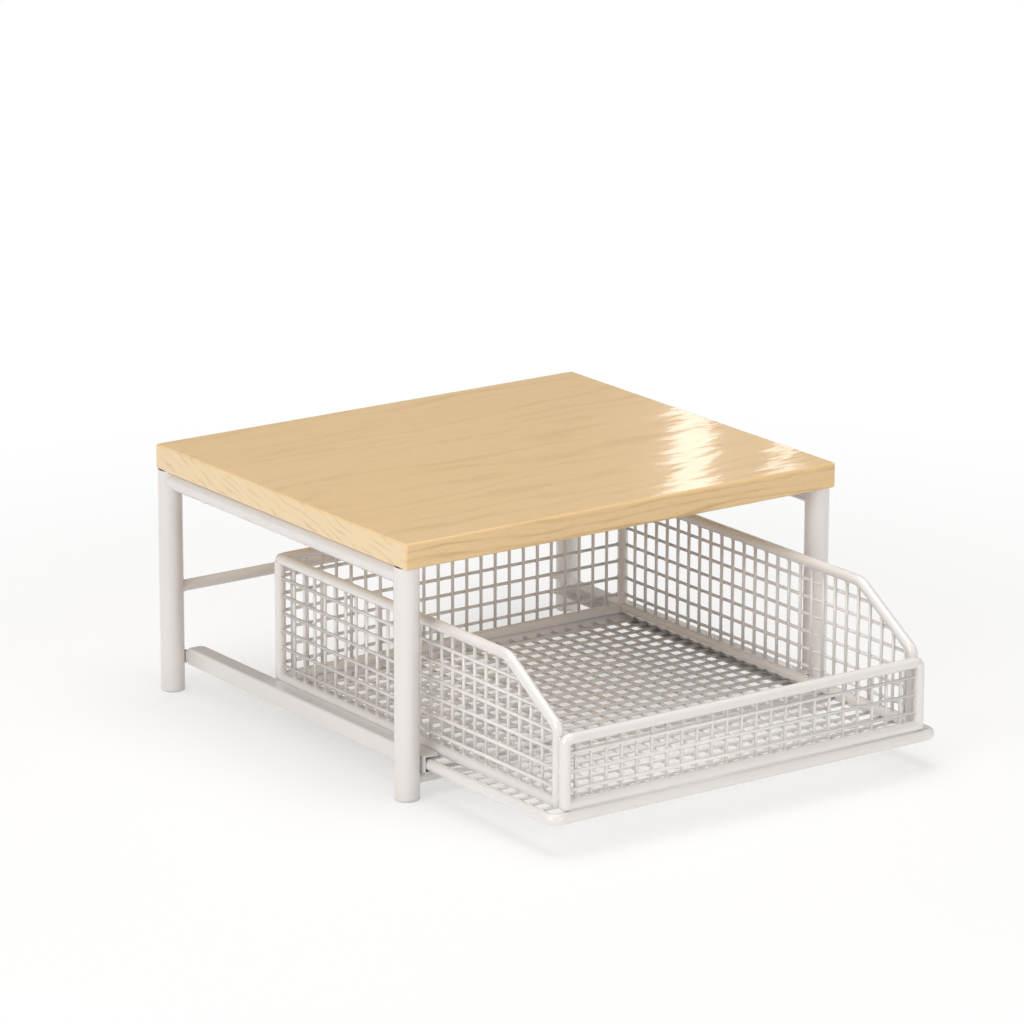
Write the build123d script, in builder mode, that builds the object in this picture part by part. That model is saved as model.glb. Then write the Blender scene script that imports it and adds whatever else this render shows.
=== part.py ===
from build123d import *
import os
from math import radians, sqrt, tan

# Low kitchen stand for a microwave or coffee machine, with a pull-out wire basket drawer.
#
# Millimetres. +Z is up and the drawer opens towards -Y. The origin is on the floor, below the
# middle of the stand with its drawer pulled out as far as it is stored here. Each piece is one
# STEP file, named as the piece. Left and right are as seen by someone who faces the drawer.

os.makedirs("parts", exist_ok=True)

# ---------------------------------------------------------------- driving dimensions

# Wooden top
stand_height = 260.0
board_width = 520.0
board_depth = 450.0
board_thickness = 26.0
board_corner_radius = 3.0
board_edge_radius = 2.5

# Legs, and the tubes that tie them together
leg_diameter = 25.0
leg_wall = 1.5
leg_side_inset = 11.2
leg_front_inset = 15.4
leg_rear_inset = 9.5
side_tube_diameter = 20.0
cross_bar_diameter = 12.0
cross_bar_wall = 1.2
rear_bar_height = 108.3

# Foot caps, pressed into the open ends of the legs
foot_height = 3.0
foot_edge_chamfer = 2.0
foot_plug_length = 12.0
foot_plug_gap = 0.1

# Drawer rails, C-channels bent from sheet
rail_sheet = 1.2
rail_height = 17.8
rail_bottom = 26.2
rail_flange_width = 17.6
rail_bend_radius = 1.0
rail_corner_radius = 6.0
rail_front_overhang = 11.6
rail_rear_setback = 9.3
rail_tab_thickness = 3.0
rail_tab_height = 13.0
rail_tab_setback = 4.0

# Running clearances of the drawer
ring_side_play = 0.5
ring_seat_gap = 0.8
stop_gap = 1.2
drawer_pull = 135.0

# Base ring of the drawer
ring_diameter = 11.5
ring_corner_radius = 8.5
ring_lip = 3.0

# Basket frames, bent from round rod
rod_diameter = 11.0
rod_bend_radius = 6.0
basket_length = 486.0
basket_side_inset = 16.1
basket_top = 168.8
front_panel_top = 109.5
slope_angle = 32.0
slope_run = 81.0
slope_top_bend_radius = 25.0
slope_foot_bend_radius = 9.0

# Wire mesh that fills the frames
wire_diameter = 3.0
wire_sides = 8
row_pitch = 18.1
first_row_gap = 9.1
side_pitch = 18.45
side_first_gap = 18.1
front_pitch = 17.75
front_first_gap = 7.6

# ---------------------------------------------------------------- places worked out from them

sides = (("left", -1), ("right", 1))
leg_radius = leg_diameter / 2
bar_radius = cross_bar_diameter / 2
ring_radius = ring_diameter / 2
rod_radius = rod_diameter / 2
wire_radius = wire_diameter / 2

# From the rear leg's axis forward: bar, stop gap, rear panel, travel, basket, lip of the ring
rear_panel_setback = bar_radius + stop_gap + rod_radius + drawer_pull
front_reach = rear_panel_setback + basket_length + ring_lip + ring_radius
rear_reach = max(leg_radius, leg_rear_inset)
rear_leg_y = (front_reach + rear_reach) / 2 - rear_reach
board_y = rear_leg_y + leg_rear_inset - board_depth / 2
front_leg_y = board_y - board_depth / 2 + leg_front_inset
leg_x = board_width / 2 - leg_side_inset
board_underside = stand_height - board_thickness
leg_length = board_underside - foot_height
side_tube_z = board_underside - side_tube_diameter / 2

rail_outer_x = leg_x - leg_radius
rail_rear_y = rear_leg_y - rail_rear_setback
rail_front_y = front_leg_y - rail_front_overhang
front_bar_height = rail_bottom - bar_radius

rear_panel_y = rear_leg_y - rear_panel_setback
front_panel_y = rear_panel_y - basket_length
ring_x = rail_outer_x - rail_sheet - ring_side_play - ring_radius
ring_z = rail_bottom + rail_sheet + ring_seat_gap + ring_radius
ring_front_y = front_panel_y - ring_lip
ring_rear_y = rear_panel_y + ring_lip
basket_half_width = ring_x - basket_side_inset

# The frames' bottom rods lie on the ring's front and rear tubes
basket_bottom = ring_z + sqrt((ring_radius + rod_radius) ** 2 - ring_lip ** 2)
front_upright_y = front_panel_y + rod_diameter
slope_bend_y = front_upright_y + slope_run
slope_foot_z = basket_top - slope_run * tan(radians(slope_angle))

# The floor's wires hang below the bottom rods: one layer across, one layer along under it
floor_cross_z = basket_bottom - rod_radius - wire_radius
floor_long_z = floor_cross_z - wire_diameter


def spaced(start, room, first_gap, pitch):
    """Wire places from start, the first after first_gap, as many as the room takes."""
    count = int((abs(room) - first_gap) / pitch) + 1
    step = pitch if room > 0 else -pitch
    lead = first_gap if room > 0 else -first_gap
    return [start + lead + step * index for index in range(count)]


row_heights = spaced(basket_bottom + rod_radius, basket_top - basket_bottom - rod_diameter,
                     first_row_gap, row_pitch)
upright_xs = spaced(rod_radius - basket_half_width, 2 * basket_half_width - rod_diameter,
                    front_first_gap, front_pitch)
side_upright_ys = spaced(rear_panel_y - rod_radius, front_upright_y - rear_panel_y + rod_diameter,
                         side_first_gap, side_pitch)


def keep(piece, name):
    """Name a finished piece and write it out."""
    piece.label = name
    export_step(piece, f"parts/{name}.step")


# ---------------------------------------------------------------- wooden top

with BuildPart() as top_board:
    with BuildSketch(Plane.XY.offset(board_underside)):
        with Locations((0, board_y)):
            RectangleRounded(board_width, board_depth, board_corner_radius)
    extrude(amount=board_thickness)
    fillet(top_board.faces().sort_by(Axis.Z)[-1].edges(), radius=board_edge_radius)
    fillet(top_board.faces().sort_by(Axis.Z)[0].edges(), radius=board_edge_radius)
keep(top_board.part, "top_board")

# ---------------------------------------------------------------- legs and foot caps

for row, leg_y in (("front", front_leg_y), ("rear", rear_leg_y)):
    for side, sign in sides:
        with BuildPart() as leg:
            with BuildSketch(Plane.XY.offset(foot_height)):
                with Locations((sign * leg_x, leg_y)):
                    Circle(leg_radius)
                    Circle(leg_radius - leg_wall, mode=Mode.SUBTRACT)
            extrude(amount=leg_length)
        keep(leg.part, f"leg_{row}_{side}")

        with BuildPart() as foot_cap:
            with BuildSketch(Plane.XY):
                with Locations((sign * leg_x, leg_y)):
                    Circle(leg_radius)
            extrude(amount=foot_height)
            chamfer(foot_cap.edges().group_by(Axis.Z)[0], length=foot_edge_chamfer)
            with BuildSketch(Plane.XY.offset(foot_height)):
                with Locations((sign * leg_x, leg_y)):
                    Circle(leg_radius - leg_wall - foot_plug_gap)
            extrude(amount=foot_plug_length)
        keep(foot_cap.part, f"foot_cap_{row}_{side}")

# ---------------------------------------------------------------- side tubes, coped to the legs

for side, sign in sides:
    with BuildPart() as side_tube:
        with BuildSketch(Plane.XZ.offset(-rear_leg_y)):
            with Locations((sign * leg_x, side_tube_z)):
                Circle(side_tube_diameter / 2)
                Circle(side_tube_diameter / 2 - leg_wall, mode=Mode.SUBTRACT)
        extrude(amount=rear_leg_y - front_leg_y)
        with BuildSketch(Plane.XY.offset(foot_height)):
            with Locations((sign * leg_x, front_leg_y), (sign * leg_x, rear_leg_y)):
                Circle(leg_radius)
        extrude(amount=leg_length, mode=Mode.SUBTRACT)
    keep(side_tube.part, f"side_tube_{side}")

# ---------------------------------------------------------------- cross bars, coped to the legs


def cross_bar(bar_y, bar_z):
    """A round tube from leg to leg, cut to the legs' curve at both ends."""
    with BuildPart() as bar:
        with BuildSketch(Plane.YZ.offset(-leg_x)):
            with Locations((bar_y, bar_z)):
                Circle(bar_radius)
                Circle(bar_radius - cross_bar_wall, mode=Mode.SUBTRACT)
        extrude(amount=2 * leg_x)
        with BuildSketch(Plane.XY):
            with Locations((-leg_x, bar_y), (leg_x, bar_y)):
                Circle(leg_radius)
        extrude(amount=board_underside, mode=Mode.SUBTRACT)
    return bar.part


keep(cross_bar(rear_leg_y, rear_bar_height), "rear_cross_bar")
keep(cross_bar(front_leg_y, front_bar_height), "front_cross_bar")

# ---------------------------------------------------------------- drawer rails

# The web is welded to the front leg's inner side, and the rail lies on the front cross bar
for side, sign in sides:
    outward = Axis((0, 0, 0), (sign, 0, 0))
    with BuildPart() as rail:
        with BuildSketch(Plane.XZ.offset(-rail_rear_y)):
            with Locations((sign * (rail_outer_x - rail_flange_width / 2), rail_bottom)):
                Rectangle(rail_flange_width, rail_height, align=(Align.CENTER, Align.MIN))
            with Locations((sign * (rail_outer_x - rail_sheet - rail_flange_width / 2),
                            rail_bottom + rail_sheet)):
                Rectangle(rail_flange_width, rail_height - 2 * rail_sheet,
                          align=(Align.CENTER, Align.MIN), mode=Mode.SUBTRACT)
        extrude(amount=rail_rear_y - rail_front_y)
        fillet(rail.edges().filter_by(Axis.Y).group_by(outward)[-2], radius=rail_bend_radius)
        fillet(rail.edges().filter_by(Axis.Y).group_by(outward)[-1],
               radius=rail_bend_radius + rail_sheet)
        fillet(rail.edges().filter_by(Axis.Z).group_by(outward)[0], radius=rail_corner_radius)
    keep(rail.part, f"rail_{side}")

    # Flat tab that bridges the rail's rear end and the rear leg
    with BuildPart() as rail_tab:
        with BuildSketch(Plane.XY.offset(rail_bottom + (rail_height - rail_tab_height) / 2)):
            with Locations((sign * (rail_outer_x - rail_sheet + rail_tab_thickness / 2),
                            rail_rear_y)):
                Rectangle(rail_tab_thickness, rail_rear_setback - rail_tab_setback,
                          align=(Align.CENTER, Align.MIN))
            with Locations((sign * leg_x, rear_leg_y)):
                Circle(leg_radius, mode=Mode.SUBTRACT)
        extrude(amount=rail_tab_height)
    keep(rail_tab.part, f"rail_tab_{side}")

# ---------------------------------------------------------------- base ring of the drawer

with BuildPart() as base_ring:
    with BuildLine(Plane.XY.offset(ring_z)) as ring_centreline:
        FilletPolyline((-ring_x, ring_front_y), (ring_x, ring_front_y), (ring_x, ring_rear_y),
                       (-ring_x, ring_rear_y), radius=ring_corner_radius, close=True)
    with BuildSketch(Plane(ring_centreline.line @ 0, z_dir=ring_centreline.line % 0)):
        Circle(ring_radius)
    sweep(path=ring_centreline.line)
keep(base_ring.part, "base_ring")

# ---------------------------------------------------------------- front and rear frames


def panel_frame(panel_y, top):
    """An arch of bent rod, closed at the foot by a straight rod with dressed corners."""
    feet = [(-basket_half_width, panel_y, basket_bottom),
            (basket_half_width, panel_y, basket_bottom)]
    with BuildPart() as frame:
        with BuildLine(Plane.XZ.offset(-panel_y)) as arch:
            FilletPolyline((-basket_half_width, basket_bottom), (-basket_half_width, top),
                           (basket_half_width, top), (basket_half_width, basket_bottom),
                           radius=rod_bend_radius)
        with BuildSketch(Plane(feet[0])):
            Circle(rod_radius)
        sweep(path=arch.line)
        with BuildSketch(Plane(feet[0], z_dir=(1, 0, 0))):
            Circle(rod_radius)
        extrude(amount=2 * basket_half_width)
        with Locations(*feet):
            Sphere(rod_radius)
    return frame.part


keep(panel_frame(front_panel_y, front_panel_top), "front_frame")
keep(panel_frame(rear_panel_y, basket_top), "rear_frame")

# ---------------------------------------------------------------- side frames


def side_outline(rear_y):
    """Rod line of a side: along the top, down the slope, down the front to the bottom rod."""
    return FilletPolyline((rear_y, basket_top), (slope_bend_y, basket_top),
                          (front_upright_y, slope_foot_z), (front_upright_y, basket_bottom),
                          radius=[slope_top_bend_radius, slope_foot_bend_radius])


# The rods end against the rear frame, and the bottom rod closes the front upright at its foot
side_rear_y = rear_panel_y - rod_radius
for side, sign in sides:
    side_x = sign * basket_half_width
    with BuildPart() as side_frame:
        with BuildLine(Plane.YZ.offset(side_x)) as centreline:
            side_outline(side_rear_y)
        with BuildSketch(Plane((side_x, side_rear_y, basket_top), z_dir=(0, -1, 0))):
            Circle(rod_radius)
        sweep(path=centreline.line)
        with BuildSketch(Plane((side_x, side_rear_y, basket_bottom), z_dir=(0, -1, 0))):
            Circle(rod_radius)
        extrude(amount=side_rear_y - front_upright_y)
        with Locations((side_x, front_upright_y, basket_bottom)):
            Sphere(rod_radius)
    keep(side_frame.part, f"side_frame_{side}")

# ---------------------------------------------------------------- wire mesh in the frames


def wire_section():
    """Eight-sided section of a wire, with a flat towards each wire that it crosses."""
    return RegularPolygon(wire_radius, wire_sides, major_radius=False, rotation=180 / wire_sides)


def wires(section_plane, places, length, window):
    """Parallel wires from a section plane, cut where the window of their frame ends."""
    with BuildPart() as layer:
        with BuildSketch(section_plane):
            with Locations(*places):
                wire_section()
        extrude(amount=length)
        extrude(window, amount=wire_diameter, both=True, mode=Mode.INTERSECT)
    return layer.part


def mesh(uprights, rows):
    """The two layers of a welded mesh, which touch where they cross."""
    return Compound(children=[*uprights.solids(), *rows.solids()])


for name, panel_y, top, outward_y in (("front", front_panel_y, front_panel_top, -1),
                                      ("rear", rear_panel_y, basket_top, 1)):
    with BuildSketch(Plane.XZ.offset(-panel_y)) as window:
        with Locations((0, (top + basket_bottom) / 2)):
            RectangleRounded(2 * basket_half_width - rod_diameter,
                             top - basket_bottom - rod_diameter, rod_bend_radius - rod_radius)
    uprights = wires(Plane.XY.offset(basket_bottom),
                     [(x, panel_y - outward_y * wire_radius) for x in upright_xs],
                     top - basket_bottom, window.sketch)
    rows = wires(Plane.YZ.offset(-basket_half_width),
                 [(panel_y + outward_y * wire_radius, z) for z in row_heights
                  if z < top - rod_radius - wire_radius],
                 2 * basket_half_width, window.sketch)
    keep(mesh(uprights, rows), f"{name}_mesh")

for side, sign in sides:
    with BuildSketch(Plane.YZ.offset(sign * basket_half_width)) as window:
        with BuildLine():
            outline = side_outline(rear_panel_y)
            Polyline(outline @ 1, (rear_panel_y, basket_bottom), outline @ 0)
        make_face()
        offset(amount=-rod_radius, kind=Kind.INTERSECTION)
    uprights = wires(Plane.XY.offset(basket_bottom),
                     [(sign * (basket_half_width - wire_radius), y) for y in side_upright_ys],
                     basket_top - basket_bottom, window.sketch)
    rows = wires(Plane.XZ.offset(-rear_panel_y),
                 [(sign * (basket_half_width + wire_radius), z) for z in row_heights],
                 basket_length, window.sketch)
    keep(mesh(uprights, rows), f"side_mesh_{side}")

# Floor: the cross wires run out under the side frames to the ring, the long wires lie under them
with BuildPart() as cross_wires:
    with BuildSketch(Plane.YZ.offset(-ring_x)):
        with Locations(*[(y, floor_cross_z) for y in side_upright_ys]):
            wire_section()
    extrude(amount=2 * ring_x)
    add(base_ring.part, mode=Mode.SUBTRACT)

with BuildPart() as long_wires:
    with BuildSketch(Plane.XZ.offset(ring_radius - ring_rear_y)):
        with Locations(*[(x, floor_long_z) for x in upright_xs]):
            wire_section()
    extrude(amount=ring_rear_y - ring_front_y - ring_diameter)

keep(mesh(cross_wires.part, long_wires.part), "floor_mesh")
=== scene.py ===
import math

import bmesh
import bpy
from mathutils import Matrix, Vector


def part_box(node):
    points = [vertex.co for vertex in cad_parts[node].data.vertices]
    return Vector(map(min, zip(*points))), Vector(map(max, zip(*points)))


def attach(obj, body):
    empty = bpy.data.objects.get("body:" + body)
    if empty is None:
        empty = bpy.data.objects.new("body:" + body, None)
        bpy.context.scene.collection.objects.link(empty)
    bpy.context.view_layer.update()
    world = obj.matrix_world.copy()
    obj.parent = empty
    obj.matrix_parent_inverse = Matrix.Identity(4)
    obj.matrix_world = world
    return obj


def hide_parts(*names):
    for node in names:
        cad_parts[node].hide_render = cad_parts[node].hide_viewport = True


# Low kitchen stand for a microwave or coffee machine, with a pull-out wire basket drawer.
# Metres, +Z up, the drawer opens towards -Y. The parts follow in the order of assembly.

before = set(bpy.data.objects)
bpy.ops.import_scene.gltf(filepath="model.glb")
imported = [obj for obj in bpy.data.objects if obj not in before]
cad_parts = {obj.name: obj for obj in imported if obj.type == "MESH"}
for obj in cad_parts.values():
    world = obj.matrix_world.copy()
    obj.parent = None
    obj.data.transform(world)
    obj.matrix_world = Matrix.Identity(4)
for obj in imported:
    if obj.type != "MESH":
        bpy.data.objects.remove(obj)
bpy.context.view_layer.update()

# ---- Legs ------------------------------------------------------------------------------------
# Four straight lengths of 25 mm round steel tube. The whole stand is welded up first, then
# sprayed with warm white powder and baked, which leaves a faint orange peel on every surface.

STAND_COAT_LIGHT = (0.81, 0.78, 0.765)
STAND_COAT_DARK = (0.785, 0.75, 0.735)
COAT_GLOSS = (0.15, 0.21)
PEEL_PER_METRE = 620.0
TONE_PER_METRE = 7.0
PEEL_DEPTH = 0.00006
PEEL_STRENGTH = 0.35
COAT_SHEEN = {"Coat Weight": 0.8, "Coat Roughness": 0.06}
DUST_AMOUNT = 0.05
DUST_COLOUR = (0.62, 0.585, 0.54)
DUST_DULLS = 0.5


def add_node(tree, kind, inputs=(), **settings):
    """A shader node with its settings, and its inputs given as values or as other sockets."""
    made = tree.nodes.new(kind)
    for name, value in settings.items():
        setattr(made, name, value)
    for name, value in dict(inputs).items():
        if isinstance(value, bpy.types.NodeSocket):
            tree.links.new(value, made.inputs[name])
        else:
            made.inputs[name].default_value = value
    return made


def math_node(tree, operation, first, second=0.0, clamp=False):
    """The result socket of one sum."""
    return add_node(tree, "ShaderNodeMath", {0: first, 1: second}, operation=operation,
                    use_clamp=clamp).outputs[0]


def effect_group(name, takes, gives):
    """An empty effect with named inputs and outputs, and the two nodes that carry them."""
    group = bpy.data.node_groups.new(name, "ShaderNodeTree")
    for label, kind, value in takes:
        group.interface.new_socket(label, in_out="INPUT", socket_type=kind).default_value = value
    for label, kind in gives:
        group.interface.new_socket(label, in_out="OUTPUT", socket_type=kind)
    return group, group.nodes.new("NodeGroupInput"), group.nodes.new("NodeGroupOutput")


def place_effect(tree, group, inputs=()):
    """An effect placed in a material, with the values that suit that material."""
    return add_node(tree, "ShaderNodeGroup", inputs, node_tree=group)


def colour_mix(tree, share, first, second):
    """The colour socket of two colours mixed by a share."""
    mix = add_node(tree, "ShaderNodeMix", data_type="RGBA")
    for index, value in ((0, share), (6, first), (7, second)):
        if isinstance(value, bpy.types.NodeSocket):
            tree.links.new(value, mix.inputs[index])
        else:
            mix.inputs[index].default_value = value if index == 0 else (*value, 1.0)
    return mix.outputs[2]


def bare_material(name):
    """A new node material, its node tree and its Principled shader."""
    made = bpy.data.materials.new(name)
    made.use_nodes = True
    return made, made.node_tree, made.node_tree.nodes["Principled BSDF"]


def relief(tree, shader, socket, height, strength, distance):
    """Bump a Principled normal socket by a height, `distance` metres deep at full strength."""
    bump = add_node(tree, "ShaderNodeBump",
                    {"Height": height, "Strength": strength, "Distance": distance})
    tree.links.new(bump.outputs[0], shader.inputs[socket])


# Orange peel: the fine ripple of baked powder, and slow drifts in its tone and its gloss
orange_peel, taken, given = effect_group(
    "orange_peel",
    (("Peel Size", "NodeSocketFloat", PEEL_PER_METRE), ("Tone Size", "NodeSocketFloat", 1.0),
     ("Gloss Low", "NodeSocketFloat", 0.2), ("Gloss High", "NodeSocketFloat", 0.4)),
    (("Height", "NodeSocketFloat"), ("Tone", "NodeSocketFloat"), ("Gloss", "NodeSocketFloat")))
place = add_node(orange_peel, "ShaderNodeTexCoord").outputs["Object"]
ripple = add_node(orange_peel, "ShaderNodeTexNoise",
                  {"Vector": place, "Scale": taken.outputs["Peel Size"], "Detail": 1.5,
                   "Roughness": 0.45})
drift = add_node(orange_peel, "ShaderNodeTexNoise",
                 {"Vector": place, "Scale": taken.outputs["Tone Size"], "Detail": 3.0})
tone = add_node(orange_peel, "ShaderNodeMapRange",
                {"Value": drift.outputs[0], "From Min": 0.35, "From Max": 0.65})
gloss = add_node(orange_peel, "ShaderNodeMapRange",
                 {"Value": drift.outputs[0], "From Min": 0.3, "From Max": 0.7,
                  "To Min": taken.outputs["Gloss Low"], "To Max": taken.outputs["Gloss High"]})
orange_peel.links.new(ripple.outputs[0], given.inputs["Height"])
orange_peel.links.new(tone.outputs[0], given.inputs["Tone"])
orange_peel.links.new(gloss.outputs[0], given.inputs["Gloss"])

# Settled dust: a broken film on what faces up, none on the sides
settled_dust, taken, given = effect_group(
    "settled_dust",
    (("Amount", "NodeSocketFloat", 0.2), ("Speck Size", "NodeSocketFloat", 90.0)),
    (("Film", "NodeSocketFloat"),))
where = add_node(settled_dust, "ShaderNodeTexCoord")
facing = add_node(settled_dust, "ShaderNodeSeparateXYZ", {0: where.outputs["Normal"]})
specks = add_node(settled_dust, "ShaderNodeTexNoise",
                  {"Vector": where.outputs["Object"], "Scale": taken.outputs["Speck Size"],
                   "Detail": 4.0, "Roughness": 0.7})
upward = math_node(settled_dust, "POWER",
                   math_node(settled_dust, "MAXIMUM", facing.outputs["Z"], 0.0), 3.0)
film = math_node(settled_dust, "MULTIPLY",
                 math_node(settled_dust, "MULTIPLY", upward, specks.outputs[0]),
                 taken.outputs["Amount"], clamp=True)
settled_dust.links.new(film, given.inputs["Film"])


def powder_coat(name, light, dark):
    """Warm white powder coat, semi-gloss, with a trace of dust on its upper sides."""
    made, tree, shader = bare_material(name)
    peel = place_effect(tree, orange_peel,
                        {"Peel Size": PEEL_PER_METRE, "Tone Size": TONE_PER_METRE,
                         "Gloss Low": COAT_GLOSS[0], "Gloss High": COAT_GLOSS[1]})
    dust = place_effect(tree, settled_dust, {"Amount": DUST_AMOUNT})
    clean = colour_mix(tree, peel.outputs["Tone"], light, dark)
    dusty = colour_mix(tree, dust.outputs["Film"], clean, DUST_COLOUR)
    dull = math_node(tree, "ADD", peel.outputs["Gloss"],
                     math_node(tree, "MULTIPLY", dust.outputs["Film"], DUST_DULLS), clamp=True)
    tree.links.new(dusty, shader.inputs["Base Color"])
    tree.links.new(dull, shader.inputs["Roughness"])
    relief(tree, shader, "Normal", peel.outputs["Height"], PEEL_STRENGTH, PEEL_DEPTH)
    for socket, value in COAT_SHEEN.items():
        shader.inputs[socket].default_value = value
    return made


def dress(node, material):
    """Give a node of the frame its finish."""
    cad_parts[node].data.materials.clear()
    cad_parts[node].data.materials.append(material)


stand_coat = powder_coat("stand_powder_coat", STAND_COAT_LIGHT, STAND_COAT_DARK)
leg_corners = [(row, side) for row in ("front", "rear") for side in ("left", "right")]
leg_axes = {}
for row, side in leg_corners:
    dress(f"leg_{row}_{side}", stand_coat)
    low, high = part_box(f"leg_{row}_{side}")
    leg_axes[row, side] = Vector(((low.x + high.x) / 2, (low.y + high.y) / 2, 0.0))
    leg_radius = (high.x - low.x) / 2

# ---- Foot caps -------------------------------------------------------------------------------
# White moulded caps pressed into the open leg ends, flush with the tube. The rim is rounded
# over so that it slides on a worktop, and a hair gap shows where cap and tube meet.

CAP_RIM_RADIUS = 0.0022
CAP_ARC_STEPS = 6
LATHE_STEPS = 64
CAP_GROOVE = 0.0003
CAP_PLUG_INSET = 0.002
CAP_PLUG_RISE = 0.004
CAP_SOLE_INSET = 0.001
CAP_GRAIN_STRENGTH = 0.3
CAP_GRAIN_DEPTH = 0.00004
CAP_LIGHT = (0.80, 0.775, 0.75)
CAP_DARK = (0.76, 0.73, 0.70)
CAP_FOOT_DARK = (0.42, 0.40, 0.38)
CAP_FOOT_BAND = 0.0015
CAP_FOOT_SHARE = 0.55


def circle(radius, steps, height=0.0):
    """The corners of a level circle about the origin."""
    return [Vector((radius * math.cos(math.tau * k / steps),
                    radius * math.sin(math.tau * k / steps), height)) for k in range(steps)]


def lathe(bm, profile, centre):
    """Turn a profile of (radius, height) about the vertical axis through centre."""
    rings = []
    for radius, height in profile:
        if radius == 0.0:
            rings.append([bm.verts.new(centre + Vector((0, 0, height)))] * LATHE_STEPS)
            continue
        rings.append([bm.verts.new(centre + corner)
                      for corner in circle(radius, LATHE_STEPS, height)])
    for lower, upper in zip(rings, rings[1:]):
        for k in range(LATHE_STEPS):
            after = (k + 1) % LATHE_STEPS
            corners = [lower[k], lower[after], upper[after], upper[k]]
            bm.faces.new(list(dict.fromkeys(corners)))


def finished(bm, name, material):
    """Close a bmesh into a smooth shaded object of that name and finish."""
    bmesh.ops.recalc_face_normals(bm, faces=bm.faces)
    mesh = bpy.data.meshes.new(name)
    bm.to_mesh(mesh)
    bm.free()
    for face in mesh.polygons:
        face.use_smooth = True
    mesh.materials.append(material)
    made = bpy.data.objects.new(name, mesh)
    bpy.context.scene.collection.objects.link(made)
    return made


cap_plastic, tree, shader = bare_material("foot_cap_plastic")
mould = place_effect(tree, orange_peel, {"Peel Size": 1500.0, "Tone Size": 30.0,
                                         "Gloss Low": 0.42, "Gloss High": 0.55})
# Each cap is darker towards the floor: its lowest 1.5 mm is mixed towards dark grey.
cap_spot = add_node(tree, "ShaderNodeSeparateXYZ",
                 {0: add_node(tree, "ShaderNodeTexCoord").outputs["Object"]})
near_floor = add_node(tree, "ShaderNodeMapRange",
                      {"Value": cap_spot.outputs["Z"], "From Min": 0.0, "From Max": CAP_FOOT_BAND,
                       "To Min": CAP_FOOT_SHARE, "To Max": 0.0})
moulded = colour_mix(tree, mould.outputs["Tone"], CAP_LIGHT, CAP_DARK)
tree.links.new(colour_mix(tree, near_floor.outputs[0], moulded, CAP_FOOT_DARK),
               shader.inputs["Base Color"])
tree.links.new(mould.outputs["Gloss"], shader.inputs["Roughness"])
relief(tree, shader, "Normal", mould.outputs["Height"], CAP_GRAIN_STRENGTH, CAP_GRAIN_DEPTH)

leg_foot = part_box("leg_front_left")[0].z
rim_centre = leg_radius - CAP_RIM_RADIUS
plug_radius = leg_radius - CAP_PLUG_INSET
quarter = [math.pi / 2 * k / CAP_ARC_STEPS for k in range(CAP_ARC_STEPS + 1)]
profile = [(0.0, 0.0), (rim_centre - CAP_SOLE_INSET, 0.0)]
profile += [(rim_centre + CAP_RIM_RADIUS * math.sin(a),
             CAP_RIM_RADIUS - CAP_RIM_RADIUS * math.cos(a)) for a in quarter]
profile += [(leg_radius, leg_foot - CAP_GROOVE), (leg_radius - CAP_GROOVE, leg_foot),
            (plug_radius, leg_foot), (plug_radius, leg_foot + CAP_PLUG_RISE),
            (0.0, leg_foot + CAP_PLUG_RISE)]
for row, side in leg_corners:
    node = f"foot_cap_{row}_{side}"
    bm = bmesh.new()
    lathe(bm, profile, leg_axes[row, side])
    cap = finished(bm, f"rounded_{node}", cap_plastic)
    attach(cap, "stand")
    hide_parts(node)

# ---- Side tubes and cross bars ---------------------------------------------------------------
# Two 20 mm tubes tie front and rear legs under the top, and two thin bars cross from left to
# right. Their ends are coped to the legs and welded all round, and the coat rounds the beads.

BEAD_RADIUS = 0.0013
BEAD_SIDES = 10
BEAD_RIPPLE = 0.10
BEAD_RIPPLES_PER_METRE = 420.0
SADDLE_STEPS = 56


def tube(bm, points, radii, sides, closed=False):
    """A round bar along points, with a radius at each of them, capped unless it is closed."""
    count = len(points)
    rings = []
    across = None
    for index, (point, radius) in enumerate(zip(points, radii)):
        before = points[index - 1] if closed or index else point
        after = points[(index + 1) % count] if closed or index < count - 1 else point
        along = (after - before).normalized()
        if across is None:
            across = along.orthogonal().normalized()
        across = (across - along * across.dot(along)).normalized()
        upright = along.cross(across)
        rings.append([bm.verts.new(point + across * corner.x + upright * corner.y)
                      for corner in circle(radius, sides)])
    for lower, upper in zip(rings, rings[1:]):
        for k in range(sides):
            after = (k + 1) % sides
            bm.faces.new((lower[k], lower[after], upper[after], upper[k]))
    if closed:
        # The last ring meets the first turned by whole steps, so each corner takes its nearest
        turn = min(range(sides), key=lambda t: (rings[-1][0].co - rings[0][t].co).length)
        for k in range(sides):
            first, second = rings[0][(k + turn) % sides], rings[0][(k + 1 + turn) % sides]
            bm.faces.new((rings[-1][k], rings[-1][(k + 1) % sides], second, first))
    else:
        bm.faces.new(rings[0][::-1])
        bm.faces.new(rings[-1])


def weld_bead(bm, points, radius=BEAD_RADIUS, closed=True):
    """A weld bead along points, with the slight ripple that the torch leaves."""
    run = 0.0
    radii = []
    for index, point in enumerate(points):
        run += (point - points[index - 1]).length if index else 0.0
        radii.append(radius * (1 + BEAD_RIPPLE * math.sin(BEAD_RIPPLES_PER_METRE * run)))
    tube(bm, points, radii, BEAD_SIDES, closed)


def saddle(axis_point, along, bar_radius, post_radius):
    """Where a level bar, leaving an upright post along `along`, meets the post's surface."""
    along = Vector(along)
    across = along.cross(Vector((0, 0, 1)))
    points = []
    for k in range(SADDLE_STEPS):
        side = bar_radius * math.sin(math.tau * k / SADDLE_STEPS)
        rise = bar_radius * math.cos(math.tau * k / SADDLE_STEPS)
        reach = math.sqrt(max(post_radius ** 2 - side ** 2, 0.0))
        points.append(axis_point + along * reach + across * side + Vector((0, 0, rise)))
    return points


for node in ("side_tube_left", "side_tube_right", "rear_cross_bar", "front_cross_bar"):
    dress(node, stand_coat)

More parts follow.
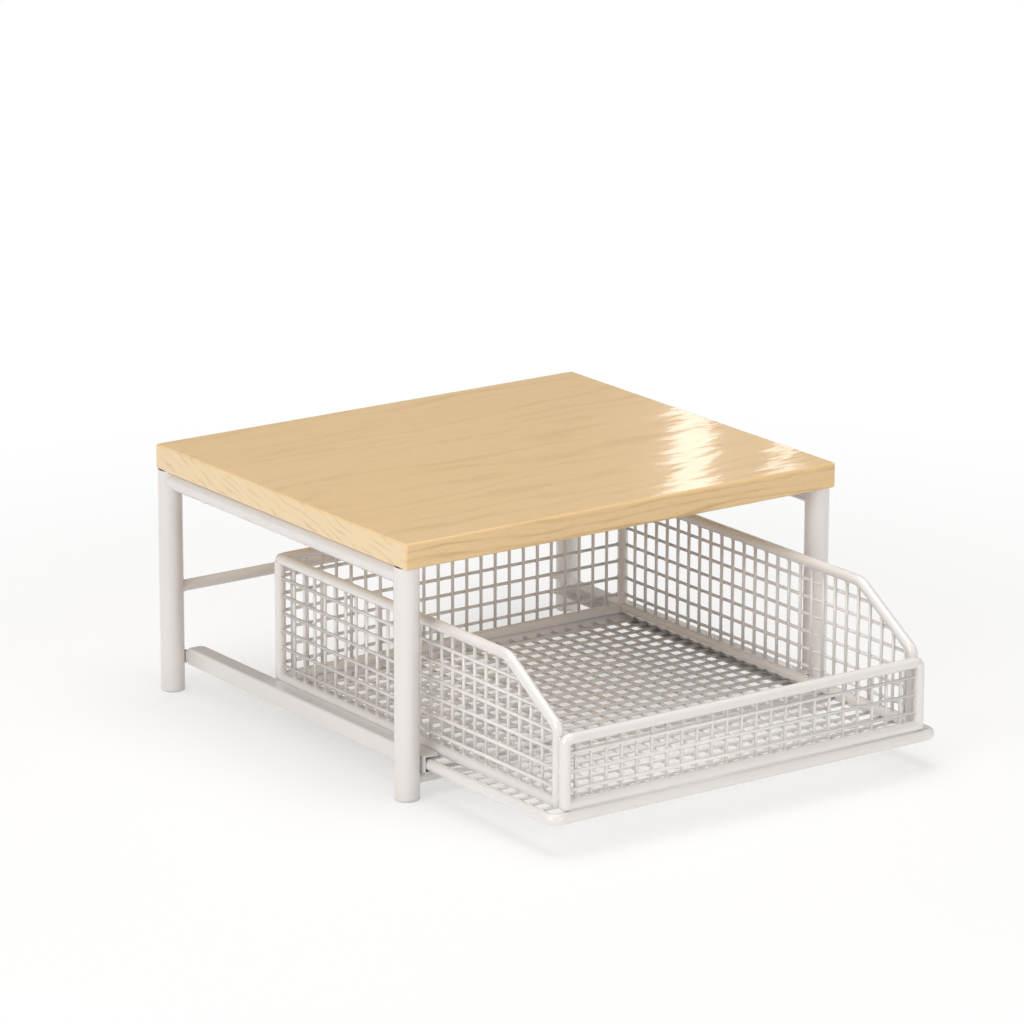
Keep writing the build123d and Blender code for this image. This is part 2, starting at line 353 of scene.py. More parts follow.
side_low, side_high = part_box("side_tube_left")
side_tube_radius = (side_high.z - side_low.z) / 2
side_tube_z = (side_high.z + side_low.z) / 2
bm = bmesh.new()
for row, side in leg_corners:
    inward = (0, 1, 0) if row == "front" else (0, -1, 0)
    axis_point = leg_axes[row, side] + Vector((0, 0, side_tube_z))
    weld_bead(bm, saddle(axis_point, inward, side_tube_radius, leg_radius))
for node, row in (("rear_cross_bar", "rear"), ("front_cross_bar", "front")):
    low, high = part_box(node)
    for side, inward in (("left", (1, 0, 0)), ("right", (-1, 0, 0))):
        axis_point = leg_axes[row, side] + Vector((0, 0, (low.z + high.z) / 2))
        weld_bead(bm, saddle(axis_point, inward, (high.z - low.z) / 2, leg_radius))
stand_welds = finished(bm, "stand_welds", stand_coat)
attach(stand_welds, "stand")

# ---- Drawer rails ----------------------------------------------------------------------------
# Two C channels folded from 1.2 mm sheet, open towards the drawer. Each rests on the front cross
# bar and is fillet-welded to its front leg, and a flat tab ties its rear end to the rear leg.

RAIL_WELD_RADIUS = 0.0012
RAIL_WELD_OFF_LEG_AXIS = 0.0028
RAIL_WELD_END_GAP = 0.003
TAB_WELD_RADIUS = 0.0006
WELD_SINK = 0.0002

for node in ("rail_left", "rail_right", "rail_tab_left", "rail_tab_right"):
    dress(node, stand_coat)

bm = bmesh.new()
for side, sign in (("left", -1), ("right", 1)):
    low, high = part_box(f"rail_{side}")
    tab_low, tab_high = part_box(f"rail_tab_{side}")
    web_x = low.x if sign < 0 else high.x
    leg = leg_axes["front", side]
    for edge in (-1, 1):
        weld_y = leg.y + edge * RAIL_WELD_OFF_LEG_AXIS
        weld_bead(bm, [Vector((web_x - sign * WELD_SINK, weld_y, z))
                       for z in (low.z + RAIL_WELD_END_GAP, (low.z + high.z) / 2,
                                 high.z - RAIL_WELD_END_GAP)],
                  RAIL_WELD_RADIUS, closed=False)
    for x in (tab_low.x, tab_high.x):
        weld_bead(bm, [Vector((x, tab_low.y + WELD_SINK, z))
                       for z in (tab_low.z, (tab_low.z + tab_high.z) / 2, tab_high.z)],
                  TAB_WELD_RADIUS, closed=False)
rail_welds = finished(bm, "rail_welds", stand_coat)
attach(rail_welds, "stand")

# ---- Wooden top ------------------------------------------------------------------------------
# One 26 mm board of pale wood, its grain along the width, edges eased by a small cutter. It is
# sanded and finished with clear satin lacquer, so windows show in it as soft broken streaks.

WOOD_LIGHT = (0.86, 0.61, 0.315)
WOOD_WARM = (0.82, 0.56, 0.265)
# The paler, yellower tone of both end faces is partly the end grain's own tone and partly painted
# light, standing in for the key light and the lacquer's sheen on the left end.
WOOD_END_GRAIN_AND_PAINTED_LIGHT = (0.88, 0.70, 0.43)
WOOD_LATE = (0.60, 0.385, 0.17)
WOOD_FIBRE = (0.60, 0.40, 0.19)
WOOD_PORE = (0.42, 0.26, 0.11)
LATE_SHARE, FIBRE_SHARE, PORE_SHARE, END_GRAIN_AND_PAINTED_LIGHT_SHARE = 1.1, 0.32, 0.4, 0.75
RING_PITCH = 0.0095
RING_TILT = 0.32
RING_SHARPNESS = 5.0
GRAIN_WARP = 0.016
BEND_SWING, SWAY_SWING = 2.4, 0.5
PATCH_RANGE = (0.38, 0.66)
PORE_RANGE = (0.64, 0.74)
QUIET_ENDS, QUIET_TOP = 0.5, 0.6
END_FIBRE_LOSS = 0.75
FIBRE_RELIEF = 0.6
GRAIN_STRENGTH = 0.4
GRAIN_DEPTH = 0.00012
LACQUER_WAVE = 0.0006
BOARD_GLOSS = (0.24, 0.36)
BOARD_SHEEN = {"Coat Weight": 0.6, "Coat Roughness": 0.09}
# Cells to the metre along the width, the depth and the thickness of the board
BEND_CELLS = (3.2, 11.0, 16.0)
SWAY_CELLS = (11.0, 40.0, 70.0)
PATCH_CELLS = (7.0, 30.0, 60.0)
CLOUD_CELLS = (4.0, 13.0, 13.0)
FIBRE_CELLS = (22.0, 700.0, 700.0)
PORE_CELLS = (75.0, 1500.0, 1500.0)
LACQUER_CELLS = (14.0, 42.0, 42.0)

oak_figure, taken, given = effect_group(
    "oak_figure",
    (("Ring Pitch", "NodeSocketFloat", RING_PITCH), ("Ring Tilt", "NodeSocketFloat", RING_TILT),
     ("Warp", "NodeSocketFloat", GRAIN_WARP)),
    (("Late Wood", "NodeSocketFloat"), ("Fibre", "NodeSocketFloat"), ("Pores", "NodeSocketFloat"),
     ("Cloud", "NodeSocketFloat"), ("End Grain And Painted Light", "NodeSocketFloat"),
     ("Lacquer Wave", "NodeSocketFloat")))
where = add_node(oak_figure, "ShaderNodeTexCoord")
place = where.outputs["Object"]
spot = add_node(oak_figure, "ShaderNodeSeparateXYZ", {0: place})
facing = add_node(oak_figure, "ShaderNodeSeparateXYZ", {0: where.outputs["Normal"]})


def times(first, second):
    """The product of two sockets or values of the wood figure."""
    return math_node(oak_figure, "MULTIPLY", first, second)


def grown_noise(cells, detail, roughness=0.5):
    """Noise drawn out along the grain."""
    drawn = add_node(oak_figure, "ShaderNodeMapping", {"Vector": place, "Scale": cells})
    return add_node(oak_figure, "ShaderNodeTexNoise",
                    {"Vector": drawn.outputs[0], "Scale": 1.0, "Detail": detail,
                     "Roughness": roughness}).outputs[0]


def facing_along(axis):
    """How squarely a face looks along an axis: 1 on the faces across it, 0 beside them."""
    return math_node(oak_figure, "POWER",
                     math_node(oak_figure, "ABSOLUTE", facing.outputs[axis]), 2.0)


end_face, flat_face = facing_along("X"), facing_along("Z")

# Rings: tilted layers, bent by slow and by quick noise, dark only in patches of late wood
bend = math_node(oak_figure, "SUBTRACT", grown_noise(BEND_CELLS, 3.0), 0.5)
sway = math_node(oak_figure, "SUBTRACT", grown_noise(SWAY_CELLS, 2.0), 0.5)
shift = math_node(oak_figure, "ADD", times(bend, times(taken.outputs["Warp"], BEND_SWING)),
                  times(sway, times(taken.outputs["Warp"], SWAY_SWING)))
depth = math_node(oak_figure, "SUBTRACT", spot.outputs["Z"],
                  times(spot.outputs["Y"], taken.outputs["Ring Tilt"]))
ring = math_node(oak_figure, "DIVIDE", math_node(oak_figure, "ADD", depth, shift),
                 taken.outputs["Ring Pitch"])
wave = math_node(oak_figure, "SINE", times(ring, math.tau))
late = math_node(oak_figure, "POWER", times(math_node(oak_figure, "ADD", wave, 1.0), 0.5),
                 RING_SHARPNESS)
patches = add_node(oak_figure, "ShaderNodeMapRange",
                   {"Value": grown_noise(PATCH_CELLS, 2.0), "From Min": PATCH_RANGE[0],
                    "From Max": PATCH_RANGE[1]})
quieter = math_node(oak_figure, "SUBTRACT", 1.0,
                    math_node(oak_figure, "ADD", times(end_face, QUIET_ENDS),
                              times(flat_face, QUIET_TOP)))
late_wood = times(times(late, patches.outputs[0]), quieter)

# Fibres and pores run along the board, so its ends show few of either
fibre = times(grown_noise(FIBRE_CELLS, 3.0, 0.6),
              math_node(oak_figure, "SUBTRACT", 1.0, times(end_face, END_FIBRE_LOSS)))
pores = add_node(oak_figure, "ShaderNodeMapRange",
                 {"Value": grown_noise(PORE_CELLS, 1.0), "From Min": PORE_RANGE[0],
                  "From Max": PORE_RANGE[1]})
open_pores = times(pores.outputs[0], math_node(oak_figure, "SUBTRACT", 1.0, end_face))
for label, socket in (("Late Wood", late_wood), ("Fibre", fibre), ("Pores", open_pores),
                      ("Cloud", grown_noise(CLOUD_CELLS, 2.0)), ("End Grain And Painted Light", end_face),
                      ("Lacquer Wave", grown_noise(LACQUER_CELLS, 2.0))):
    oak_figure.links.new(socket, given.inputs[label])

board_wood, tree, shader = bare_material("board_lacquered_oak")
figure = place_effect(tree, oak_figure, {"Ring Pitch": RING_PITCH, "Ring Tilt": RING_TILT,
                                         "Warp": GRAIN_WARP})
colour = colour_mix(tree, figure.outputs["Cloud"], WOOD_LIGHT, WOOD_WARM)
# The end faces are mixed towards the paler end tone: partly end grain, partly painted light and
# sheen.
for label, share, tint in (("End Grain And Painted Light", END_GRAIN_AND_PAINTED_LIGHT_SHARE, WOOD_END_GRAIN_AND_PAINTED_LIGHT),
                           ("Late Wood", LATE_SHARE, WOOD_LATE),
                           ("Fibre", FIBRE_SHARE, WOOD_FIBRE),
                           ("Pores", PORE_SHARE, WOOD_PORE)):
    colour = colour_mix(tree, math_node(tree, "MULTIPLY", figure.outputs[label], share, True),
                        colour, tint)
tree.links.new(colour, shader.inputs["Base Color"])
tree.links.new(add_node(tree, "ShaderNodeMapRange",
                        {"Value": figure.outputs["Fibre"], "To Min": BOARD_GLOSS[0],
                         "To Max": BOARD_GLOSS[1]}).outputs[0], shader.inputs["Roughness"])
grain = math_node(tree, "SUBTRACT",
                  math_node(tree, "MULTIPLY", figure.outputs["Fibre"], FIBRE_RELIEF),
                  figure.outputs["Pores"])
relief(tree, shader, "Normal", grain, GRAIN_STRENGTH, GRAIN_DEPTH)
relief(tree, shader, "Coat Normal", figure.outputs["Lacquer Wave"], 1.0, LACQUER_WAVE)
for socket, value in BOARD_SHEEN.items():
    shader.inputs[socket].default_value = value
dress("top_board", board_wood)

# ---- Screws under the top --------------------------------------------------------------------
# Four zinc plated countersunk screws come up through the side tubes and hold the top down. Their
# flat heads sit flush in the undersides of the tubes, each with a cross recess for the driver.

SCREW_END_DISTANCE = 0.070
HEAD_RADIUS = 0.0036
HEAD_PROUD = 0.00025
HEAD_BEVEL = 0.0003
HEAD_BURIED = 0.002
RECESS_ARM = 0.0021
RECESS_HALF_WIDTH = 0.0005
RECESS_DEPTH = 0.0012
RECESS_TAPER = 0.7
SHANK_SHARE = 0.6
HEAD_STEPS = 36
ZINC_LIGHT = (0.66, 0.67, 0.68)
ZINC_DARK = (0.52, 0.53, 0.54)

screw_zinc, tree, shader = bare_material("screw_zinc")
plate = place_effect(tree, orange_peel, {"Peel Size": 2400.0, "Tone Size": 160.0,
                                         "Gloss Low": 0.28, "Gloss High": 0.45})
tree.links.new(colour_mix(tree, plate.outputs["Tone"], ZINC_LIGHT, ZINC_DARK),
               shader.inputs["Base Color"])
tree.links.new(plate.outputs["Gloss"], shader.inputs["Roughness"])
shader.inputs["Metallic"].default_value = 1.0


def cross_outline(arm, half_width):
    """The twelve corners of a cross recess, as seen from the driver's side."""
    corners = []
    for quarter in range(4):
        turn = Matrix.Rotation(quarter * math.pi / 2, 3, "Z")
        corners += [turn @ Vector(point) for point in ((arm, -half_width, 0), (arm, half_width, 0),
                                                        (half_width, half_width, 0))]
    return corners


def placed(bm, centre, corners, share=1.0, rise=0.0):
    """New vertices for an outline about centre, drawn in by a share and lifted."""
    return [bm.verts.new(centre + corner * share + Vector((0, 0, rise))) for corner in corners]


rim = circle(HEAD_RADIUS, HEAD_STEPS)
recess = cross_outline(RECESS_ARM, RECESS_HALF_WIDTH)
bm = bmesh.new()
for row, side in leg_corners:
    step = SCREW_END_DISTANCE if row == "front" else -SCREW_END_DISTANCE
    face = leg_axes[row, side] + Vector((0, step, side_tube_z - side_tube_radius - HEAD_PROUD))
    flat_rim = placed(bm, face, rim, 1 - HEAD_BEVEL / HEAD_RADIUS)
    side_rim = placed(bm, face, rim, rise=HEAD_BEVEL)
    root_rim = placed(bm, face, rim, SHANK_SHARE, HEAD_BURIED)
    mouth = placed(bm, face, recess)
    recess_floor = placed(bm, face, recess, RECESS_TAPER, RECESS_DEPTH)
    for k in range(HEAD_STEPS):
        after = (k + 1) % HEAD_STEPS
        bm.faces.new((flat_rim[k], flat_rim[after], side_rim[after], side_rim[k]))
        bm.faces.new((side_rim[k], side_rim[after], root_rim[after], root_rim[k]))
    bm.faces.new(root_rim)
    for k in range(len(recess)):
        after = (k + 1) % len(recess)
        bm.faces.new((mouth[k], mouth[after], recess_floor[after], recess_floor[k]))
        # The flat of the head: each recess edge faces three of the rim's 36 steps
        start = 3 * k - 2
        fan = [flat_rim[(start + j) % HEAD_STEPS] for j in range(4)]
        bm.faces.new([mouth[after], mouth[k], *fan])
    bm.faces.new(recess_floor)
board_screws = finished(bm, "board_screws", screw_zinc)
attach(board_screws, "stand")

# ---- Base ring of the drawer -----------------------------------------------------------------
# One loop of round tube bent tight at its four corners and butt-welded at the back. Its long
# sides run in the rails, and the basket is welded on top of its front and rear runs.

# The drawer's coat is mixed a shade paler than the stand's, though both are one powder: painted
# light that makes up for the shade the top casts over the basket.
DRAWER_COAT_PALER_LIGHT = (0.82, 0.79, 0.775)
DRAWER_COAT_PALER_DARK = (0.80, 0.768, 0.752)

drawer_coat_painted_paler = powder_coat("drawer_powder_coat_painted_paler", DRAWER_COAT_PALER_LIGHT, DRAWER_COAT_PALER_DARK)
dress("base_ring", drawer_coat_painted_paler)
ring_low, ring_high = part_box("base_ring")
ring_radius = (ring_high.z - ring_low.z) / 2
ring_z = (ring_high.z + ring_low.z) / 2
ring_x = ring_high.x - ring_radius
ring_front_y = ring_low.y + ring_radius
ring_rear_y = ring_high.y - ring_radius

# ---- Basket frames ---------------------------------------------------------------------------
# Front and rear are arches of 11 mm rod closed by a straight rod at the foot. The sides have a
# sloping front. All are butted together and tacked, and paint fills the seams along the ring.

SEAM_FILL_RADIUS = 0.0024
SEAM_END_INSET = 0.004
SEAM_FILL_SIDES = 20
TACK_RADIUS = 0.0016
TACK_HALF_LENGTH = 0.004
TACK_OFF_AXIS = 0.0022
TACK_FOOT_GAP = 0.006
TACK_TOP_GAP = 0.002
CORNER_BEAD_RADIUS = 0.0009
CORNER_BEAD_CLEARANCE = 0.0005
STUB_SHARE = 0.99
STUB_REACH = (1.0, 0.1)
STUB_SIDES = 40

for node in ("front_frame", "rear_frame", "side_frame_left", "side_frame_right"):
    dress(node, drawer_coat_painted_paler)
front_low, front_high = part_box("front_frame")
rear_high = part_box("rear_frame")[1]
rod_radius = (front_high.y - front_low.y) / 2
front_panel_y = front_low.y + rod_radius
rear_panel_y = rear_high.y - rod_radius
half_width = front_high.x - rod_radius
basket_bottom = front_low.z + rod_radius
basket_top = rear_high.z - rod_radius
front_top = front_high.z - rod_radius
front_upright_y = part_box("side_frame_left")[0].y + rod_radius


def corner_bead(bm, post, along, across):
    """A bead over the top of a rod's end against its post, laid in order of x (0) or y (1)."""
    ends = saddle(post, along, rod_radius, rod_radius)
    upper = [point for point in ends if point.z > post.z + CORNER_BEAD_CLEARANCE]
    upper.sort(key=lambda point: point[across])
    weld_bead(bm, upper, CORNER_BEAD_RADIUS, closed=False)


bm = bmesh.new()
# Paint-filled seam between each bottom rod and the ring's tube below it
for panel_y, ring_y in ((front_panel_y, ring_front_y), (rear_panel_y, ring_rear_y)):
    rod_axis = Vector((0, panel_y, basket_bottom))
    ring_axis = Vector((0, ring_y, ring_z))
    touch = rod_axis.lerp(ring_axis, rod_radius / (rod_radius + ring_radius))
    reach = half_width - SEAM_END_INSET
    tube(bm, [touch + Vector((x, 0, 0)) for x in (-reach, 0, reach)], [SEAM_FILL_RADIUS] * 3,
         SEAM_FILL_SIDES)
# The bottom rods' inner corners against the posts
for panel_y in (front_panel_y, rear_panel_y):
    for sign in (-1, 1):
        corner_bead(bm, Vector((sign * half_width, panel_y, basket_bottom)), (-sign, 0, 0), 1)
# Side frames: stubs that carry their rods up to the rear posts, and tacks to the front posts
for sign in (-1, 1):
    for z in (basket_bottom, basket_top):
        tube(bm, [Vector((sign * half_width, rear_panel_y - rod_radius * share, z))
                  for share in STUB_REACH], [rod_radius * STUB_SHARE] * 2, STUB_SIDES)
    for z in (basket_bottom + TACK_FOOT_GAP, (basket_bottom + front_top) / 2,
              front_top - TACK_TOP_GAP):
        for out in (-1, 1):
            centre = Vector((sign * half_width + out * TACK_OFF_AXIS,
                             front_panel_y + rod_radius, z))
            weld_bead(bm, [centre + Vector((0, 0, rise))
                           for rise in (-TACK_HALF_LENGTH, 0, TACK_HALF_LENGTH)],
                      TACK_RADIUS, closed=False)
    corner_bead(bm, Vector((sign * half_width, front_upright_y, basket_bottom)), (0, 1, 0), 0)
frame_welds = finished(bm, "frame_welds", drawer_coat_painted_paler)
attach(frame_welds, "drawer")

# ---- Wire mesh -------------------------------------------------------------------------------
# Straight coated wires, 3.4 mm thick, welded wherever two cross: the current presses them a
# little into each other and leaves a small collar. Their ends are welded inside the frames.

WIRE_RADIUS = 0.0017
WIRE_SIDES = 14
WIRE_SINK = 0.00022
COLLAR_RADIUS = 0.0023
COLLAR_HEIGHT = 0.0018
COLLAR_SIDES = 10
COLLAR_BANDS = 5
END_COLLAR_RADIUS = 0.0025
END_COLLAR_HEIGHT = 0.0012
RING_COLLAR_HEIGHT = 0.0014
RING_BITE = 0.002
ROW_PITCH = 0.0181
FIRST_ROW_GAP = 0.0091
UPRIGHT_PITCH = 0.01775
UPRIGHT_FIRST_GAP = 0.0076
SIDE_PITCH = 0.01845
SIDE_FIRST_GAP = 0.0181
SLOPE_ANGLE = math.radians(32)
SLOPE_RUN = 0.081


def spaced(start, end, first_gap, pitch):
    """Wire places from start towards end, the first after first_gap."""
    direction = 1 if end > start else -1
    count = int((abs(end - start) - first_gap) / pitch) + 1
    return [start + direction * (first_gap + pitch * k) for k in range(count)]


def wire(bm, start, end):
    """One straight wire."""
    tube(bm, [start, end], [WIRE_RADIUS] * 2, WIRE_SIDES)


def collar(bm, centre, across, radius=COLLAR_RADIUS, height=COLLAR_HEIGHT):
    """The swollen metal round a weld, flattened along `across`."""
    turn = Vector((0, 0, 1)).rotation_difference(Vector(across)).to_matrix()
    rings = []
    for k in range(1, COLLAR_BANDS):
        lean = math.pi * k / COLLAR_BANDS
        band = circle(radius * math.sin(lean), COLLAR_SIDES, height * math.cos(lean))
        rings.append([bm.verts.new(centre + turn @ corner) for corner in band])
    poles = [bm.verts.new(centre + turn @ Vector((0, 0, sign * height))) for sign in (1, -1)]
    for j in range(COLLAR_SIDES):
        after = (j + 1) % COLLAR_SIDES
        bm.faces.new((poles[0], rings[0][j], rings[0][after]))
        bm.faces.new((poles[1], rings[-1][after], rings[-1][j]))
        for upper, lower in zip(rings, rings[1:]):
            bm.faces.new((upper[j], lower[j], lower[after], upper[after]))


def end_collar(bm, centre, across, height=END_COLLAR_HEIGHT):
    """The wider collar where a wire ends on a rod or on the ring."""
    collar(bm, centre, across, END_COLLAR_RADIUS, height)


def drawer_mesh(bm, node):
    """Finish one welded mesh: it rides on the drawer in place of its plain node."""
    made = finished(bm, f"welded_{node}", drawer_coat_painted_paler)
    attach(made, "drawer")
    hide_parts(node)


rows = spaced(basket_bottom + rod_radius, basket_top - rod_radius, FIRST_ROW_GAP, ROW_PITCH)
upright_xs = spaced(rod_radius - half_width, half_width - rod_radius, UPRIGHT_FIRST_GAP,
                    UPRIGHT_PITCH)
side_ys = spaced(rear_panel_y - rod_radius, front_upright_y + rod_radius, SIDE_FIRST_GAP,
                 SIDE_PITCH)
layer = WIRE_RADIUS - WIRE_SINK

# Front and rear: uprights on the inside, rows on the outside
for name, panel_y, top, outward in (("front", front_panel_y, front_top, -1),
                                    ("rear", rear_panel_y, basket_top, 1)):
    bm = bmesh.new()
    panel_rows = [z for z in rows if z < top - rod_radius - WIRE_RADIUS]
    for x in upright_xs:
        wire(bm, Vector((x, panel_y - outward * layer, basket_bottom)),
             Vector((x, panel_y - outward * layer, top)))
        for z in (basket_bottom + rod_radius, top - rod_radius):
            end_collar(bm, Vector((x, panel_y - outward * layer, z)), (0, 0, 1))
    for z in panel_rows:
        wire(bm, Vector((-half_width, panel_y + outward * layer, z)),
             Vector((half_width, panel_y + outward * layer, z)))
        for sign in (-1, 1):
            end_collar(bm, Vector((sign * (half_width - rod_radius), panel_y + outward * layer,
                                   z)), (1, 0, 0))
        for x in upright_xs:
            collar(bm, Vector((x, panel_y, z)), (0, 1, 0))
    drawer_mesh(bm, f"{name}_mesh")

# Sides: rows on the outside, cut where the slope comes down
slope_bend_y = front_upright_y + SLOPE_RUN


def rod_height(y):
    """Height of the side's upper rod axis above a place along the side."""
    return basket_top - max(slope_bend_y - y, 0.0) * math.tan(SLOPE_ANGLE)


def rod_front(z):
    """How far forward the side's rods let a row at that height run."""
    return max(front_upright_y, slope_bend_y - (basket_top - z) / math.tan(SLOPE_ANGLE))


rod_edge = rod_radius / math.cos(SLOPE_ANGLE)
for side, sign in (("left", -1), ("right", 1)):
    bm = bmesh.new()
    inner_x = sign * (half_width - layer)
    outer_x = sign * (half_width + layer)
    for y in side_ys:
        wire(bm, Vector((inner_x, y, basket_bottom)), Vector((inner_x, y, rod_height(y))))
        top_edge = rod_radius if y > slope_bend_y else rod_edge
        for z in (basket_bottom + rod_radius, rod_height(y) - top_edge):
            end_collar(bm, Vector((inner_x, y, z)), (0, 0, 1))
    for z in rows:
        wire(bm, Vector((outer_x, rear_panel_y, z)), Vector((outer_x, rod_front(z), z)))
        end_collar(bm, Vector((outer_x, rear_panel_y - rod_radius, z)), (0, 1, 0))
        front_edge = rod_radius if rod_front(z) == front_upright_y else (
            rod_radius / math.sin(SLOPE_ANGLE))
        end_collar(bm, Vector((outer_x, rod_front(z) + front_edge, z)), (0, 1, 0))
        for y in side_ys:
            if z < rod_height(y) - rod_edge:
                collar(bm, Vector((sign * half_width, y, z)), (1, 0, 0))
    drawer_mesh(bm, f"side_mesh_{side}")

# ---- Drawer floor ----------------------------------------------------------------------------
# The floor is one more welded grid. Its cross wires run out below the side frames and are
# welded to the ring, its long wires hang under them and end at the ring's front and rear runs.

cross_z = basket_bottom - rod_radius - WIRE_RADIUS
long_z = cross_z - 2 * WIRE_RADIUS + WIRE_SINK
bm = bmesh.new()
cross_end = ring_x - math.sqrt(ring_radius ** 2 - (cross_z - ring_z) ** 2)
for y in side_ys:
    wire(bm, Vector((-cross_end - RING_BITE, y, cross_z)),
         Vector((cross_end + RING_BITE, y, cross_z)))
    for sign in (-1, 1):
        end_collar(bm, Vector((sign * cross_end, y, cross_z)), (1, 0, 0), RING_COLLAR_HEIGHT)
long_front, long_rear = ring_front_y + ring_radius, ring_rear_y - ring_radius
for x in upright_xs:
    wire(bm, Vector((x, long_front - RING_BITE, long_z)),
         Vector((x, long_rear + RING_BITE, long_z)))
    for y in (long_front, long_rear):
        end_collar(bm, Vector((x, y, long_z)), (0, 1, 0), RING_COLLAR_HEIGHT)
    for y in side_ys:
        collar(bm, Vector((x, y, (cross_z + long_z) / 2)), (0, 0, 1))
drawer_mesh(bm, "floor_mesh")

# ---- Floor and light -------------------------------------------------------------------------
# A plain white studio floor that keeps the stand's soft shadow, soft boxes on the left, overhead
# and in front, a thin strip that edges the legs, and two narrow windows behind that show as
# broken streaks in the lacquered top.

FLOOR_HALF = 7.0
FLOOR_LIGHT = (0.91, 0.91, 0.91)
FLOOR_DARK = (0.89, 0.89, 0.89)
SHADOW_KEPT = 0.45
SHADOW_REACH = (0.45, 1.3)
AIR_STRENGTH = (0.52, 0.30)
AIR_SPAN = (-0.7, 0.6)
AIR_COLOUR = (1.0, 0.985, 0.965, 1.0)
WHITE = (1.0, 1.0, 1.0, 1.0)
WARM_LAMP = (1.0, 0.985, 0.96)

floor_paint = bpy.data.materials.new("studio_floor_paint")
bm = bmesh.new()
bm.faces.new([bm.verts.new((x * FLOOR_HALF, y * FLOOR_HALF, 0.0))
              for x, y in ((-1, -1), (1, -1), (1, 1), (-1, 1))])
studio_floor = finished(bm, "studio_floor", floor_paint)
floor_paint.use_nodes = True
tree = floor_paint.node_tree
tree.nodes.clear()
spread = add_node(tree, "ShaderNodeTexCoord").outputs["Object"]
grit = add_node(tree, "ShaderNodeTexNoise", {"Vector": spread, "Scale": 3.0, "Detail": 2.0})
matt = add_node(tree, "ShaderNodeBsdfDiffuse",
                {"Color": colour_mix(tree, grit.outputs[0], FLOOR_LIGHT, FLOOR_DARK)})
white = add_node(tree, "ShaderNodeEmission", {"Color": WHITE, "Strength": 1.0})
seen = add_node(tree, "ShaderNodeLightPath")
shown = math_node(tree, "MAXIMUM", seen.outputs["Is Camera Ray"],
                  math_node(tree, "MAXIMUM", seen.outputs["Is Glossy Ray"],
                            seen.outputs["Is Transmission Ray"]))
away = add_node(tree, "ShaderNodeVectorMath", {0: spread}, operation="LENGTH")
whitened = add_node(tree, "ShaderNodeMapRange",
                    {"Value": away.outputs["Value"], "From Min": SHADOW_REACH[0],
                     "From Max": SHADOW_REACH[1], "To Min": 1 - SHADOW_KEPT, "To Max": 1.0},
                    interpolation_type="SMOOTHSTEP")
blend = add_node(tree, "ShaderNodeMixShader",
                 {0: math_node(tree, "MULTIPLY", shown, whitened.outputs[0]),
                  1: matt.outputs[0], 2: white.outputs[0]})
add_node(tree, "ShaderNodeOutputMaterial", {"Surface": blend.outputs[0]})

world = bpy.data.worlds.new("studio_air")
bpy.context.scene.world = world
world.use_nodes = True
tree = world.node_tree
tree.nodes.clear()
seen = add_node(tree, "ShaderNodeLightPath")
direct = math_node(tree, "MAXIMUM", seen.outputs["Is Camera Ray"],
                   seen.outputs["Is Transmission Ray"])
toward = add_node(tree, "ShaderNodeSeparateXYZ",
                  {0: add_node(tree, "ShaderNodeTexCoord").outputs["Generated"]})
dim_right = add_node(tree, "ShaderNodeMapRange",
                     {"Value": toward.outputs["X"], "From Min": AIR_SPAN[0],
                      "From Max": AIR_SPAN[1], "To Min": AIR_STRENGTH[0],
                      "To Max": AIR_STRENGTH[1]},
                     interpolation_type="SMOOTHSTEP")
air = add_node(tree, "ShaderNodeBackground",
               {"Color": AIR_COLOUR, "Strength": dim_right.outputs[0]})
backdrop = add_node(tree, "ShaderNodeBackground", {"Color": WHITE, "Strength": 1.0})
add_node(tree, "ShaderNodeOutputWorld",
         {"Surface": add_node(tree, "ShaderNodeMixShader",
                              {0: direct, 1: air.outputs[0], 2: backdrop.outputs[0]}).outputs[0]})

board_low, board_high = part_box("top_board")
board_middle = (board_low + board_high) / 2


def soft_lamp(name, place, target, width, height, watts, colour=WHITE[:3]):
    """A rectangular soft box that faces its target and isn't seen itself."""
    data = bpy.data.lights.new(name, "AREA")
    data.shape = "RECTANGLE"
    data.size, data.size_y, data.energy, data.color = width, height, watts, colour
    lamp = bpy.data.objects.new(name, data)
    lamp.location = place
    lamp.rotation_euler = (Vector(target) - Vector(place)).to_track_quat("-Z", "Y").to_euler()
    lamp.visible_camera = False
    bpy.context.scene.collection.objects.link(lamp)


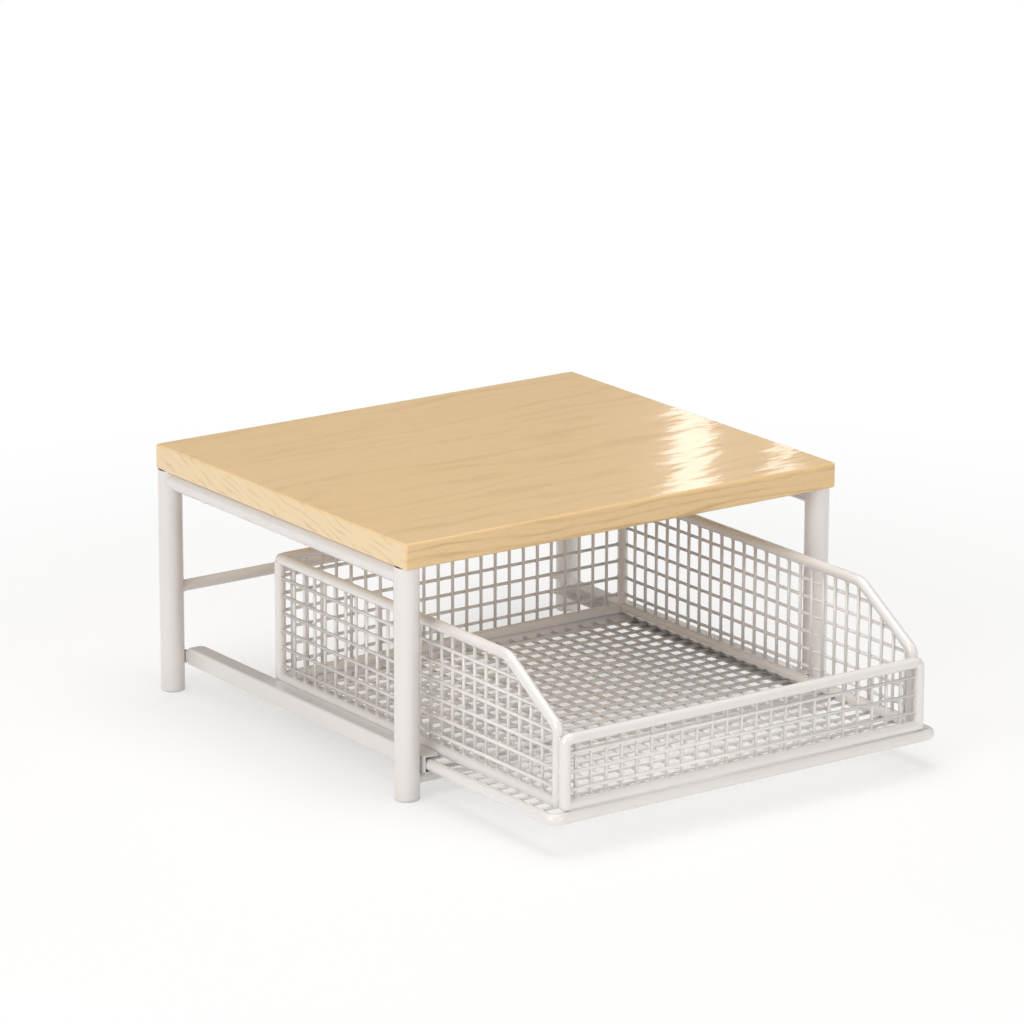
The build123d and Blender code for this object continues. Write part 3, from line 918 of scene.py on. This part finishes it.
middle = Vector((0.0, 0.0, 0.12))
soft_lamp("key_lamp", (-2.6, -0.9, 1.6), middle, 1.6, 1.6, 28.0, (1.0, 0.99, 0.97))
soft_lamp("overhead_lamp", (0.1, 0.1, 2.4), middle, 1.8, 1.8, 33.0, WARM_LAMP)
soft_lamp("front_lamp", (0.7, -3.2, 1.3), middle, 1.4, 1.2, 22.0, WARM_LAMP)
soft_lamp("edge_strip", (-3.0, -2.1, 0.55), middle, 0.10, 1.3, 3.5)
soft_lamp("rear_window_wide", (1.631, 1.911, 0.968), board_middle, 0.055, 0.32, 0.17)
soft_lamp("rear_window_narrow", (1.74, 1.834, 0.968), board_middle, 0.03, 0.30, 0.08)

# ---- Camera ----------------------------------------------------------------------------------
# A long lens about 5.5 m away, a little above the stand and turned to its front left. Its place
# and its turn were fitted to the stand's edges in the photograph.

VIEW_AZIMUTH = math.radians(-35.37)
VIEW_ELEVATION = math.radians(15.81)
VIEW_ROLL = math.radians(0.15)
PHOTO_SIZE = 1024
FOCAL_PIXELS = 5446.8
SENSOR_MM = 36.0
CAMERA_FROM_BOARD = Vector((-3.0420, -4.31735, 1.6938))

lens = bpy.data.cameras.new("photo_camera")
lens.sensor_width = SENSOR_MM
lens.lens = FOCAL_PIXELS / PHOTO_SIZE * SENSOR_MM
lens.clip_end = 60.0
camera = bpy.data.objects.new("photo_camera", lens)
bpy.context.scene.collection.objects.link(camera)
level = Vector((math.cos(VIEW_AZIMUTH), math.sin(VIEW_AZIMUTH), 0.0))
back = Vector((math.sin(VIEW_AZIMUTH) * math.cos(VIEW_ELEVATION),
               -math.cos(VIEW_AZIMUTH) * math.cos(VIEW_ELEVATION), math.sin(VIEW_ELEVATION)))
rightward = level * math.cos(VIEW_ROLL) + back.cross(level) * math.sin(VIEW_ROLL)
axes = Matrix((rightward, back.cross(rightward), back)).transposed().to_4x4()
axes.translation = Vector((board_middle.x, board_middle.y, 0.0)) + CAMERA_FROM_BOARD
camera.matrix_world = axes
bpy.context.scene.camera = camera
bpy.context.scene.view_settings.view_transform = "Standard"
